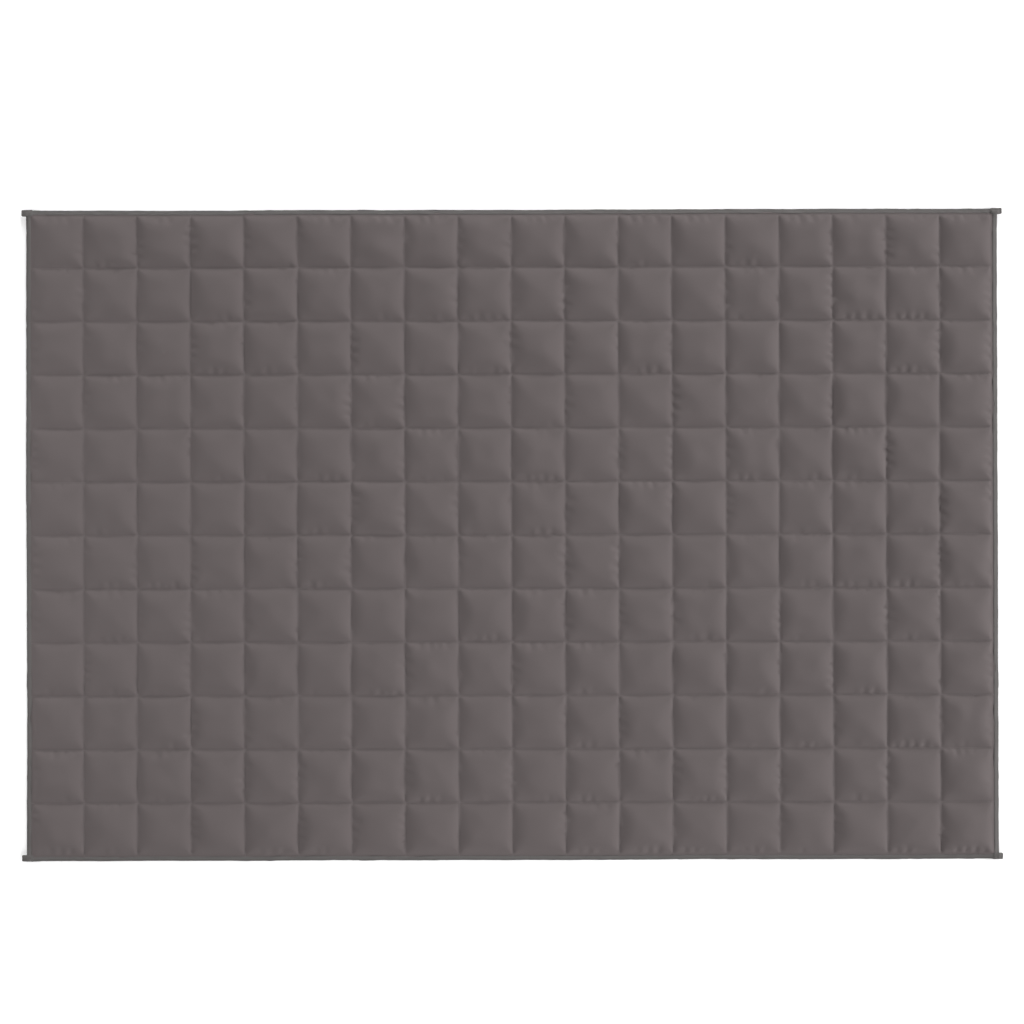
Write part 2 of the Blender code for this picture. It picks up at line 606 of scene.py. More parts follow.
class Nodes:
    """The node tree of one material."""

    def __init__(self, name: str) -> None:
        """Starts a material that holds only a Principled BSDF and its output.

        Args:
            name: The material's name.
        """
        self.material = bpy.data.materials.new(name)
        self.material.use_nodes = True
        self.tree = self.material.node_tree
        self.shader = self.tree.nodes["Principled BSDF"]

    def put(self, socket: bpy.types.NodeSocket, value: object) -> None:
        """Links or sets a socket.

        Args:
            socket: The socket.
            value: A value for it, or another socket that it is linked to.
        """
        if isinstance(value, Value):
            value = value.socket
        if isinstance(value, bpy.types.NodeSocket):
            self.tree.links.new(value, socket)
        else:
            socket.default_value = value

    def node(self, kind: str, settings: dict[str, object], inputs: dict) -> bpy.types.Node:
        """Adds a node.

        Args:
            kind: Its type.
            settings: Its properties, set before its sockets.
            inputs: The values or links of its sockets, by name or number.

        Returns:
            The node.
        """
        made = self.tree.nodes.new(kind)
        for key, value in settings.items():
            setattr(made, key, value)
        for key, value in inputs.items():
            self.put(made.inputs[key], value)
        return made

    def value(self, kind: str, settings: dict[str, object], inputs: dict, output: str) -> Value:
        """Adds a node and gives one of its outputs as a number."""
        return Value(self, self.node(kind, settings, inputs).outputs[output])

    def noise(self, place: bpy.types.NodeSocket, scale: float, detail: float) -> Value:
        """Soft noise between 0 and 1."""
        inputs = {"Vector": place, "Scale": scale, "Detail": detail}
        return self.value("ShaderNodeTexNoise", {"noise_dimensions": "3D"}, inputs, "Fac")

    def shaded(self, colour: tuple[float, float, float], shade: Value) -> bpy.types.NodeSocket:
        """A colour times a number."""
        node = self.node("ShaderNodeVectorMath", {"operation": "SCALE"}, {0: colour, "Scale": shade})
        return node.outputs["Vector"]

    def place(self) -> bpy.types.NodeSocket:
        """Object coordinates."""
        return self.node("ShaderNodeTexCoord", {}, {}).outputs["Object"]

    def finish(self, settings: dict[str, object]) -> bpy.types.Material:
        """Sets or links the shader's sockets.

        Args:
            settings: The value or link of each socket, by its name.

        Returns:
            The material.
        """
        for key, value in settings.items():
            self.put(self.shader.inputs[key], value)
        return self.material


@dataclass(frozen=True)
class WovenCloth:
    """A plain weave in one colour, whose threads vary a little in shade and stand a little proud."""

    name: str
    colour: tuple[float, float, float]
    threads_a_metre: float = 2200.0
    proud: float = 0.00006
    bump: float = 0.25
    roughness: float = 0.9
    shine: float = 0.2
    fuzz: float = 0.02
    fuzz_roughness: float = 0.5
    shade_varies: float = 0.05
    slubs_a_metre: float = 900.0
    patches_vary: float = 0.03
    patches_a_metre: float = 28.0
    painted_shade_darkens: float = 0.0  # painted shade: how much darker the colour is where the piece's shade attribute is 1
    over_stands: float = 0.25  # how much prouder a thread is where it passes over another
    slubs_stand: float = 0.5  # and where it is thick

    def material(self) -> bpy.types.Material:
        """Builds the finish.

        Returns:
            The material.
        """
        nodes = Nodes(self.name)
        place = nodes.place()
        parts = nodes.node("ShaderNodeSeparateXYZ", {}, {0: place})
        turn = self.threads_a_metre * math.pi
        x, y = Value(nodes, parts.outputs["X"]) * turn, Value(nodes, parts.outputs["Y"]) * turn
        over = x.maths("SINE", x) * y.maths("SINE", y)
        crown_x = x.maths("ABSOLUTE", x.maths("COSINE", x))
        crown_y = y.maths("ABSOLUTE", y.maths("COSINE", y))
        ridge = 0.5 * (crown_x + crown_y) + self.over_stands * over
        slub = nodes.noise(place, self.slubs_a_metre, detail=2.0)
        patch = nodes.noise(place, self.patches_a_metre, detail=3.0)
        shade = 1.0 + self.shade_varies * (slub - 0.5) + self.patches_vary * (patch - 0.5)
        # Painted shade, read from the piece's attribute: the colour is darkened along a tape's fold and
        # over its tabs.
        if self.painted_shade_darkens:
            painted_shade = nodes.value("ShaderNodeAttribute", {"attribute_name": "painted_shade"}, {}, "Fac")
            shade = shade * (1.0 - self.painted_shade_darkens * painted_shade)
        height = ridge + self.slubs_stand * slub
        settings = {"Strength": self.bump, "Distance": self.proud, "Height": height}
        bump = nodes.node("ShaderNodeBump", {}, settings)
        return nodes.finish(
            {
                "Base Color": nodes.shaded(self.colour, shade),
                "Roughness": self.roughness,
                "Specular IOR Level": self.shine,
                "Sheen Weight": self.fuzz,
                "Sheen Roughness": self.fuzz_roughness,
                "Normal": bump.outputs["Normal"],
            }
        )


@dataclass(frozen=True)
class Thread:
    """Twisted sewing thread, whose strands run aslant round it."""

    name: str
    colour: tuple[float, float, float]
    strands_a_metre: float = 2600.0
    roughness: float = 0.6
    shine: float = 0.35
    shade_varies: float = 0.25
    fibres_a_metre: float = 1500.0
    strands_show: float = 0.08

    def material(self) -> bpy.types.Material:
        """Builds the finish.

        Returns:
            The material.
        """
        nodes = Nodes(self.name)
        place = nodes.place()
        parts = nodes.node("ShaderNodeSeparateXYZ", {}, {0: place})
        x, y = Value(nodes, parts.outputs["X"]), Value(nodes, parts.outputs["Y"])
        slant = (x + y) * self.strands_a_metre
        strand = slant.maths("SINE", slant)
        fibre = nodes.noise(place, self.fibres_a_metre, detail=2.0)
        shade = 1.0 + self.shade_varies * (fibre - 0.5) + self.strands_show * strand
        return nodes.finish(
            {
                "Base Color": nodes.shaded(self.colour, shade),
                "Roughness": self.roughness,
                "Specular IOR Level": self.shine,
            }
        )


# ---------------------------------------------------------------- quilt


@dataclass
class Quilt:
    """Two cloths with beads and padding between them, sewn through into squares."""

    RINGS = 2  # of points round the squares, on the flat edge that the bindings hold

    sizes: Sizes
    wander: Wander
    face: Filling
    back: Filling
    finish: WovenCloth
    most_triangles: int = 194_000
    sliver: float = 1e-6  # square metres
    most_turned: float = 0.6  # cosine of the angle to a neighbour
    mending_rounds: int = 8
    map_margin: float = 0.004
    inside_fold: float = 0.0042  # from a binding's fold to the raw edge
    beside_tape: float = 0.0030  # from the binding's seam in to where the squares start to swell
    sides_further: float = 0.0006  # how much further in that is beside the side bindings
    tape_edge: float = 0.0006  # from the binding's seam in to the edge of its tape
    tape_edge_half: float = 0.00157  # half its thickness there

    def laid(self, squares: np.ndarray, face: bool) -> Points:
        """Lays simulated squares side by side, with the flat edge that the bindings hold.

        Args:
            squares: Points as SwellingCloth.run gives them.
            face: Whether they are the face's.

        Returns:
            Points as (rows, columns, 3).
        """
        s, n, rings = self.sizes, squares.shape[-1] - 1, self.RINGS
        whole = np.zeros((s.rows * n + 1 + 2 * rings, s.columns * n + 1 + 2 * rings, 3))
        for square in range(squares.shape[1]):
            row, column = divmod(square, s.columns)
            part = np.moveaxis(squares[:, square], 0, -1).astype(float)
            part += (column * s.pitch - s.half_x, row * s.pitch - s.half_y, 0)
            part[..., 0] = self.drawn_in(part[..., 0], s.half_x, self.beside_tape + self.sides_further)
            part[..., 1] = self.drawn_in(part[..., 1], s.half_y, self.beside_tape)
            top, left = rings + row * n, rings + column * n
            whole[top : top + n + 1, left : left + n + 1] = part
        up = 1 if face else -1
        sewn = whole[rings:-rings, rings:-rings]
        sewn[..., 2] = s.seam_height(sewn[..., 0], sewn[..., 1], face) + up * sewn[..., 2]
        under_tape = (
            (1, self.beside_tape - self.tape_edge, self.tape_edge_half),
            (0, s.binding - self.inside_fold + self.tape_edge, s.edge_half),
        )
        for ring, outwards, half in under_tape:
            for edge, beside, way in ((ring, ring + 1, -1), (-1 - ring, -2 - ring, 1)):
                whole[:, edge] = whole[:, beside]
                whole[:, edge, 0] += way * outwards
                whole[edge] = whole[beside]
                whole[edge, :, 1] += way * outwards
                for line in (whole[:, edge], whole[edge]):
                    line[:, 2] = s.edge_middle + up * half + s.lift(line[:, 0], line[:, 1])
        whole[..., 2] = np.maximum(whole[..., 2], 0)
        return whole

    def drawn_in(self, place: np.ndarray, half: float, most: float) -> np.ndarray:
        """Moves what lies in the outermost squares inwards, clear of the tape.

        Args:
            place: Places along one axis.
            half: From the middle to the binding's seam.
            most: How far what lies at the seam moves.

        Returns:
            The new places.
        """
        outermost = np.clip((np.abs(place) - half) / self.sizes.pitch + 1, 0, None)
        return place - np.sign(place) * most * outermost

    def build(self) -> bpy.types.Object:
        """Simulates both cloths and joins them into one closed piece.

        Returns:
            The quilt.
        """
        sides = []
        for face, filling in ((True, self.face), (False, self.back)):
            steps = filling.steps
            cloth = SwellingCloth(self.sizes, filling, steps).run()
            sides.append(self.laid(enlarged(cloth, self.face.steps[-1][0] + 1), face))
        rows, columns = sides[0].shape[:2]
        count = rows * columns
        rim = self.rim(rows, columns)
        after = np.roll(rim, -1)
        walls = np.stack([rim, after, after + count, rim + count], axis=-1)
        faces = np.concatenate(
            [grid_faces(rows, columns), grid_faces(rows, columns, count, True), walls[:, ::-1]]
        )
        points = self.wander.move(np.concatenate([side.reshape(-1, 3) for side in sides]))
        piece = mesh_piece("quilt_cloths", points, faces)
        self.thin(piece)
        self.unwrap(piece)
        piece.data.materials.append(self.finish.material())
        return piece

    @staticmethod
    def rim(rows: int, columns: int) -> np.ndarray:
        """The numbers of the points round a grid, anticlockwise from above."""
        at = np.arange(rows * columns).reshape(rows, columns)
        return np.concatenate([at[0, :-1], at[:-1, -1], at[-1, :0:-1], at[:0:-1, 0]])

    def thin(self, piece: bpy.types.Object) -> None:
        """Takes out the triangles that its shape needs least.

        Args:
            piece: The quilt.
        """
        only(piece)
        fewer = piece.modifiers.new("fewer", "DECIMATE")
        fewer.ratio = self.most_triangles / (2 * len(piece.data.polygons))
        bpy.ops.object.modifier_apply(modifier="fewer")
        mesh = bmesh.new()
        mesh.from_mesh(piece.data)
        for _ in range(self.mending_rounds):
            turned = self.turned(mesh)
            if not turned:
                break
            shortest = {min(face.edges, key=lambda edge: edge.calc_length()): None for face in turned}
            bmesh.ops.collapse(mesh, edges=list(shortest), uvs=False)
        mesh.to_mesh(piece.data)
        mesh.free()

    def turned(self, mesh: bmesh.types.BMesh) -> list[bmesh.types.BMFace]:
        """Finds the slivers that stand out of the cloth, which thinning leaves here and there.

        Args:
            mesh: The quilt's mesh.

        Returns:
            The slivers.
        """
        mesh.normal_update()
        slivers = [face for face in mesh.faces if face.calc_area() < self.sliver]
        return [
            face
            for face in slivers
            if any(
                face.normal.dot(other.normal) < self.most_turned
                for edge in face.edges
                for other in edge.link_faces
                if other is not face
            )
        ]

    def unwrap(self, piece: bpy.types.Object) -> None:
        """Lays the face flat in the upper half of the piece's UV map and the back in the lower.

        Args:
            piece: The quilt.
        """
        mesh = piece.data
        corners, points = corner_places(mesh)
        up = np.empty(len(mesh.polygons) * 3, np.float32)
        mesh.polygons.foreach_get("normal", up)
        sides = np.empty(len(mesh.polygons), np.int32)
        mesh.polygons.foreach_get("loop_total", sides)
        face = np.repeat(up[2::3] > 0, sides)
        across = 0.5 + points[corners, 0] / (self.sizes.length + self.map_margin)
        over = 0.5 + points[corners, 1] / (self.sizes.width + self.map_margin)
        set_uv(mesh, np.stack([across, over / 2 + np.where(face, 0.5, 0.0)], axis=-1))


# ---------------------------------------------------------------- bindings


class Edge(Enum):
    """The blanket's four edges, as the photograph has them, by their outward direction."""

    LEFT = (-1, 0)
    RIGHT = (1, 0)
    FRONT = (0, -1)
    BACK = (0, 1)

    @property
    def runs_along_x(self) -> bool:
        """Whether the edge runs along the length."""
        return self.value[0] == 0

    def place(self, along: np.ndarray, out: np.ndarray, up: np.ndarray) -> Points:
        """Turns places by the edge into points.

        Args:
            along: Places along the edge.
            out: How far out from the blanket's middle each lies.
            up: How high each lies.

        Returns:
            The points.
        """
        if self.runs_along_x:
            return np.stack([along, self.value[1] * out, up], axis=-1)
        return np.stack([self.value[0] * out, along, up], axis=-1)


@dataclass(frozen=True)
class TapeSection:
    """A strip of tape folded in two over a raw edge, cut across. Lengths are in millimetres."""

    width_mm: float = 8.0
    half_mm: float = 2.4
    round_mm: float = 3.0  # from the fold: this part keeps its width, and its height scales
    outside: tuple[tuple[float, float], ...] = (  # in from the fold, and the height over the middle
        *((8.0, 1.42), (7.97, 1.52), (7.87, 1.64), (7.6, 1.77), (7.25, 1.83)),  # the turned-in hem
        *((6.8, 1.85), (6.3, 1.84), (5.8, 1.8), (5.2, 1.72), (4.6, 1.6), (4.0, 1.45), (3.4, 1.27)),
        *((2.8, 1.08), (2.2, 0.9), (1.65, 0.74), (1.15, 0.6), (0.7, 0.45), (0.35, 0.3), (0.1, 0.13)),
    )
    inside: tuple[tuple[float, float], ...] = (  # in from the fold, and the share of the slot's height
        *((4.5, 0.9), (3.6, 0.7), (2.6, 0.4), (2.0, 0.0)),
    )
    seam_mm: float = 7.6  # from the fold to the row of stitches
    seam_height_mm: float = 1.78

    def outline(
        self, width: np.ndarray, slot: np.ndarray, tape: np.ndarray
    ) -> tuple[np.ndarray, np.ndarray]:
        """The closed outlines at some stations.

        Args:
            width: From the sewn edge to the fold at each station, in metres.
            slot: Half the height inside.
            tape: How thick the tape is.

        Returns:
            How far in from the fold each point lies, and its height over the middle, both as
            (stations, points). The points run over the top, round the fold, back underneath and
            round the inside.
        """
        inwards, heights = np.array(self.outside).T
        share = np.clip((inwards - self.round_mm) / (self.width_mm - self.round_mm), 0, 1)
        top_in = inwards * MM + share * (width[:, None] - self.width_mm * MM)
        round_up = heights / self.half_mm * (slot + tape)[:, None]
        flat_up = (heights - self.half_mm) * MM + (slot + tape)[:, None]
        top_up = round_up + share * (flat_up - round_up)
        fold = np.zeros((len(width), 1))
        low_up = np.maximum(-top_up[:, ::-1], -(slot + tape)[:, None])
        turn_in, turn_up = np.array(self.inside).T
        inner_in = np.column_stack([width, np.tile(turn_in * MM, (len(width), 1))])
        inner_up = -slot[:, None] * np.concatenate([[1.0], turn_up])
        within = np.concatenate([inner_in, inner_in[:, -2::-1]], axis=1)
        level = np.concatenate([inner_up, -inner_up[:, -2::-1]], axis=1)
        return (
            np.concatenate([top_in, fold, top_in[:, ::-1], within], axis=1),
            np.concatenate([top_up, fold, low_up, level], axis=1),
        )


@dataclass(frozen=True)
class Tab:
    """The tucked end of a binding, which sticks out past the side of the blanket."""

    reach: float = 0.0088  # past the side
    proud: float = 0.0014  # past the fold of the plain stretch
    width: float = 0.0122
    groove: float = 0.0002  # depth of the crease along it
    slant: float = 0.0  # how much further out its tip lies
    inner: float = 0.0115  # in from the side
    step: float = 0.0012  # over which its inner end rises
    doubled: float = 0.0002  # how much thicker the tape is where its end is tucked in
    closes: tuple[float, float] = (0.0009, 0.006)  # where, in from the side, and over how much
    closed_middle: float = 0.0029  # how high its middle lies there
    closed_tape: float = 0.0008  # how much thicker the tape is there
    over_side: tuple[float, float] = (0.0045, 0.004)  # the same past the side's seam, to lie on its tape
    side_share: float = 0.55  # the share of the corner's lift that its slot opens by
    rounded: float = 0.0018  # the radius of its tip
    tip_width: float = 0.98  # how nearly the tip closes, in its width
    tip_height: float = 0.97  # and in its height
    tip_slope: float = 0.55  # over how much of the radius its height closes
    groove_place: float = 0.72  # where the crease lies, as a share of half the width
    groove_spread: float = 0.02
    groove_fades: float = 0.003


def smooth(value: np.ndarray) -> np.ndarray:
    """Eases from 0 to 1."""
    held = np.clip(value, 0, 1)
    return held * held * (3 - 2 * held)


@dataclass
class Binding:
    """A folded tape along one edge. Its wrinkles run a little aslant, as on tape that is eased on."""

    name: str
    edge: Edge
    sizes: Sizes
    wander: Wander
    finish: WovenCloth
    tabs: tuple[Tab, Tab] | None = None  # at the lower and the higher end along the edge
    section: TapeSection = TapeSection()
    over_seam: float = 0.0005  # how far the tape reaches in over the edge of the squares
    over_side_seam: float = 0.0009  # the same for a side's tape
    wrinkle: float = 0.0002  # the usual height of all of them together
    wrinkle_lengths: tuple[float, float, int] = (0.011, 0.12, 22)  # shortest, longest, how many
    wrinkle_slant: float = 1.2  # the most turns that a wrinkle moves on by, round the outline
    usual_wrinkle: float = 0.05  # longer ones are stronger
    summed: float = 3.5  # the usual strength of their sum
    calm: float = 0.45  # the share of their strength that wrinkles have where the tape is calm
    lively_lengths: tuple[float, ...] = (0.09, 0.17, 0.31, 0.6)  # of the waves that this follows
    plain_fold: float = 0.003  # over which wrinkles fade towards the fold
    wavy_fold: float = 0.004  # over which the fold's own waves fade inwards
    fold_waves: float = 0.8  # their strength, next to that of the wrinkles
    # Painted shade, darkest along the fold and over the tabs, and how it fades.
    painted_shade: float = 0.0049  # painted shade: how far in from the fold the tape is painted darkest
    painted_shade_fades: float = 0.0015
    tab_painted_shade: float = 0.7
    tab_fades: float = 0.002
    station: float = 0.004
    fine_station: float = 0.0005
    fine_stretch: float = 0.016  # how far in from the side the stations are close together
    lowest: float = 0.00002  # clear of the surface it lies on
    seed: int = 11
    fold_seed: int = 31

    @property
    def half(self) -> float:
        """From the middle of the edge to the blanket's side."""
        return (self.sizes.length if self.edge.runs_along_x else self.sizes.width) / 2

    @property
    def plain_width(self) -> float:
        """From the fold to the tape's sewn edge, away from the tabs."""
        return self.sizes.binding + (self.over_seam if self.edge.runs_along_x else self.over_side_seam)

    @property
    def fold(self) -> float:
        """From the blanket's middle out to the fold."""
        return (self.sizes.width if self.edge.runs_along_x else self.sizes.length) / 2

    def stations(self) -> np.ndarray:
        """Where the tape is cut across for its loft.

        Returns:
            Places along the edge, closer together near its ends.
        """
        inside_fold = self.sizes.tape + self.sizes.gap
        low_end, high_end = [tab.reach for tab in self.tabs] if self.tabs else [-inside_fold] * 2
        close = self.fine_stretch
        low = np.arange(-self.half - low_end, -self.half + close, self.fine_station)
        high = np.arange(self.half - close, self.half + high_end, self.fine_station)
        count = round(2 * (self.half - close) / self.station)
        middle = np.linspace(-self.half + close, self.half - close, count + 1)[1:-1]
        return np.concatenate([low, middle, high, [self.half + high_end]])

    def wrinkles(self, along: np.ndarray, points: int, seed: int) -> np.ndarray:
        """How far the tape stands out of its plain shape.

        Args:
            along: The stations.
            points: How many points the outline has.
            seed: Which wrinkles are drawn.

        Returns:
            Heights as (stations, points).
        """
        rng = np.random.default_rng(seed)
        around = np.linspace(0, 1, points)
        total = np.zeros((len(along), points))
        for length in np.geomspace(*self.wrinkle_lengths):
            slant = rng.uniform(-self.wrinkle_slant, self.wrinkle_slant)
            phase = rng.uniform(0, 2 * math.pi)
            wave = np.sin(2 * math.pi * (along[:, None] / length + slant * around) + phase)
            total += wave * (length / self.usual_wrinkle) ** 0.5
        lively = np.zeros(len(along))
        for length in self.lively_lengths:
            lively += np.sin(2 * math.pi * along / length + rng.uniform(0, 2 * math.pi))
        strength = self.calm + 2 * (1 - self.calm) * smooth(lively / 3 + 0.5)
        return self.wrinkle * total / self.summed * strength[:, None]

    def shape(self, along: np.ndarray) -> tuple[np.ndarray, ...]:
        """What changes along the tape.

        Args:
            along: The stations.

        Returns:
            At each station: how far out the fold lies, how wide the tape is from there, half the
            height inside it, how thick it is and how high its middle lies.
        """
        s = self.sizes
        inside = self.half - np.abs(along)
        middle = s.edge_height(inside)
        fold, width = np.full(len(along), self.fold), np.full(len(along), self.plain_width)
        slot, tape = np.full(len(along), s.slot), np.full(len(along), s.tape)
        for end, tab in zip((-1, 1), self.tabs or ()):
            here = along * end > 0
            wide = smooth((tab.inner + tab.step - inside) / tab.step) * here
            outer = smooth((tab.closes[0] - inside) / tab.closes[1]) * here
            tip = smooth(-inside / tab.reach) * here
            fold += wide * tab.proud + tab.slant * tip
            width += wide * (tab.width + tab.proud - self.plain_width)
            over_side = smooth((s.binding + tab.over_side[0] - inside) / tab.over_side[1]) * here
            opened = over_side * tab.side_share * s.corner_lift
            slot += opened * (1 - outer) - (s.slot - s.gap / 2) * outer
            tape += wide * tab.doubled + outer * tab.closed_tape
            middle += outer * (tab.closed_middle - middle)
        return fold, width, slot, tape, middle

    def build(self) -> bpy.types.Object:
        """Lofts the tape along its edge.

        Returns:
            The binding.
        """
        along = self.stations()
        fold, width, slot, tape, middle = self.shape(along)
        inwards, up = self.section.outline(width, slot, tape)
        around = inwards.shape[1]
        outer = 2 * len(self.section.outside) + 1
        free = np.where(np.arange(around) < outer, 1.0, 0.0)
        wrinkles = self.wrinkles(along, around, self.seed + list(Edge).index(self.edge))
        waves = self.fold_waves * self.wrinkles(along, around, self.fold_seed)
        up = up + wrinkles * free * np.sign(up) * smooth(inwards / self.plain_fold)
        inwards = inwards + waves * free * smooth(1 - inwards / self.wavy_fold)
        for end, tab in zip((-1, 1), self.tabs or ()):
            inwards, up = self.tuck(tab, self.half + tab.reach - along * end, inwards, up, width)
        up = np.maximum(up + middle[:, None], self.lowest)
        points = self.edge.place(np.broadcast_to(along[:, None], up.shape), fold[:, None] - inwards, up)
        faces = self.skin(len(along), around)
        piece = mesh_piece(self.name, self.wander.move(points.reshape(-1, 3)), faces)
        # Painted shade: the tape's colour is darkened towards its fold and over its tabs, through a
        # point attribute.
        at_tab = self.tab_painted_shade * smooth((width - width.min()) / self.tab_fades)
        painted_shade = np.maximum(smooth((self.painted_shade - inwards) / self.painted_shade_fades), at_tab[:, None])
        layer = piece.data.attributes.new("painted_shade", "FLOAT", "POINT")
        layer.data.foreach_set("value", painted_shade.astype(np.float32).ravel())
        self.close(piece, around)
        piece.data.materials.append(self.finish.material())
        return piece

    @staticmethod
    def tuck(
        tab: Tab, from_tip: np.ndarray, inwards: np.ndarray, up: np.ndarray, width: np.ndarray
    ) -> tuple[np.ndarray, np.ndarray]:
        """Rounds a tab's tip and presses the crease along it.

        Args:
            tab: The tab.
            from_tip: How far each station is from the tip.
            inwards: How far in from the fold each point lies.
            up: Its height over the middle.
            width: From the sewn edge to the fold at each station.

        Returns:
            The new places, in from the fold and up.
        """
        near = np.clip(1 - from_tip / tab.rounded, 0, 1)
        corner = tab.rounded * (1 - np.sqrt(1 - near**2 * tab.tip_width))
        centre = width / 2
        pulled = centre[:, None] + (inwards - centre[:, None]) * (1 - corner / centre)[:, None]
        thin = np.clip(1 - from_tip / (tab.tip_slope * tab.rounded), 0, 1)
        flat = np.sqrt(1 - thin**2 * tab.tip_height)
        to_end = tab.reach + tab.inner - from_tip
        fade = smooth(from_tip / tab.groove_fades) * smooth(to_end / tab.groove_fades)
        crease = np.exp(-((pulled / centre[:, None] - tab.groove_place) ** 2) / tab.groove_spread)
        sunk = tab.groove * crease * fade[:, None] * np.sign(up)
        return pulled, (up - sunk) * flat[:, None]

    @staticmethod
    def skin(stations: int, around: int) -> np.ndarray:
        """The quads of the loft, which is open at its ends.

        Args:
            stations: How many outlines it has.
            around: How many points an outline has.

        Returns:
            An array of quads, each four point numbers.
        """
        at = np.arange(stations * around).reshape(stations, around)
        after = np.roll(at, -1, axis=1)
        return np.stack([at[:-1], after[:-1], after[1:], at[1:]], axis=-1).reshape(-1, 4)

    @staticmethod
    def close(piece: bpy.types.Object, around: int) -> None:
        """Closes both ends and turns the faces out.

        Args:
            piece: The binding.
            around: How many points an outline has.
        """
        only(piece)
        bpy.ops.object.mode_set(mode="EDIT")
        for end in (slice(None, around), slice(-around, None)):
            chosen = np.zeros(len(piece.data.vertices), bool)
            chosen[end] = True
            select_points(piece, chosen)
            bpy.ops.mesh.fill()
        bpy.ops.mesh.select_all(action="SELECT")
        bpy.ops.mesh.normals_make_consistent(inside=False)
        bpy.ops.object.mode_set(mode="OBJECT")


# ---------------------------------------------------------------- stitches


@dataclass
class Stitches:
    """Rows of stitches in one thread. One stitch is modelled, and copied along every row."""

    name: str
    finish: Thread
    pitch: float = 0.004
    radius: float = 0.00026
    straight: float = 0.0019
    tapered: float = 0.0031
    uneven: float = 0.06
    cells: int = 64  # along each side of the UV map
    cell_margin: float = 0.1
    seed: int = 7

    def one(self) -> tuple[Points, np.ndarray]:
        """Models a stitch along X.

        Returns:
            Its points and its triangles.
        """
        deselect()
        bpy.ops.mesh.primitive_cylinder_add(
            vertices=4,
            radius=self.radius,
            depth=self.straight,
            end_fill_type="TRIFAN",
            rotation=(0, math.pi / 2, 0),
        )
        stitch = bpy.context.active_object
        bpy.ops.object.transform_apply(rotation=True)
        bpy.ops.object.mode_set(mode="EDIT")
        bpy.ops.mesh.quads_convert_to_tris()
        bpy.ops.object.mode_set(mode="OBJECT")
        _, places = corner_places(stitch.data)
        bpy.ops.object.mode_set(mode="EDIT")
        select_points(stitch, np.hypot(places[:, 1], places[:, 2]) < self.radius / 4)
        bpy.ops.transform.resize(value=(self.tapered / self.straight, 1, 1))
        bpy.ops.transform.translate(value=(0, 0, -self.radius))
        bpy.ops.object.mode_set(mode="OBJECT")
        corners, points = corner_places(stitch.data)
        bpy.data.objects.remove(stitch)
        return points, corners.reshape(-1, 3)

    def sew(self, rows: list[Points], wander: Wander, up: float) -> bpy.types.Object:
        """Copies the stitch along rows.

        Args:
            rows: Each row's line, as points from its start to its end.
            wander: How sewn lines stray.
            up: 1 for stitches on the face, -1 for those underneath.

        Returns:
            One piece that holds all the stitches.
        """
        rng = np.random.default_rng(self.seed)
        shape, triangles = self.one()
        shape = shape * (1, 1, up)
        if up < 0:
            triangles = triangles[:, ::-1]
        placed = []
        for row in rows:
            steps = np.diff(row, axis=0)
            reach = np.concatenate([[0], np.cumsum(np.linalg.norm(steps, axis=1))])
            count = max(round(reach[-1] / self.pitch), 1)
            at = (np.arange(count) + 0.5) * reach[-1] / count
            middle = np.stack([np.interp(at, reach, row[:, axis]) for axis in range(3)], axis=-1)
            way = steps.sum(0)[:2] / np.linalg.norm(steps.sum(0)[:2])
            turn = rng.normal(0, self.uneven / 2, count)
            cos, sin = way[0] - way[1] * turn, way[1] + way[0] * turn
            long = 1 + rng.normal(0, self.uneven, count)
            x, y, z = shape.T
            across = np.stack([cos * long, sin * long], axis=-1)[:, None] * x[None, :, None]
            beside = np.stack([-sin, cos], axis=-1)[:, None] * y[None, :, None]
            copies = np.zeros((count, len(shape), 3))
            copies[..., :2] = middle[:, None, :2] + across + beside
            copies[..., 2] = middle[:, None, 2] + z
            placed.append(copies)
        stitches = np.concatenate(placed)
        first = np.arange(len(stitches))[:, None, None] * len(shape)
        faces = (triangles + first).reshape(-1, 3)
        piece = mesh_piece(self.name, wander.move(stitches.reshape(-1, 3)), faces)
        self.unwrap(piece, shape, triangles, len(stitches))
        piece.data.materials.append(self.finish.material())
        return piece

    def unwrap(self, piece: bpy.types.Object, shape: Points, triangles: np.ndarray, count: int) -> None:
        """Gives each stitch a small cell of the piece's UV map, over and over.

        Args:
            piece: All the stitches.
            shape: One stitch's points.
            triangles: Its triangles.
            count: How many stitches there are.
        """
        flat = shape[triangles.reshape(-1)][:, :2]
        low, high = flat.min(0), flat.max(0)
        inside = self.cell_margin + (1 - 2 * self.cell_margin) * (flat - low) / (high - low)
        cell = np.arange(count) % self.cells**2
        corner = np.stack([cell % self.cells, cell // self.cells], axis=-1)
        set_uv(piece.data, ((corner[:, None] + inside) / self.cells).reshape(-1, 2))


# ---------------------------------------------------------------- studio


@dataclass(frozen=True)
class Lamp:
    """A soft light panel that faces the middle of the blanket. Its power is in watts."""

    name: str
    place: tuple[float, float, float]
    width: float
    height: float
    power: float

    def build(self) -> None:
        """Adds the panel to the scene."""
        data = bpy.data.lights.new(self.name, "AREA")
        data.shape, data.size, data.size_y = "RECTANGLE", self.width, self.height
        data.energy = self.power
        lamp = bpy.data.objects.new(self.name, data)
        lamp.location = self.place
        lamp.rotation_euler = (-Vector(self.place)).to_track_quat("-Z", "Y").to_euler()
        lamp.visible_camera = False
        bpy.context.scene.collection.objects.link(lamp)


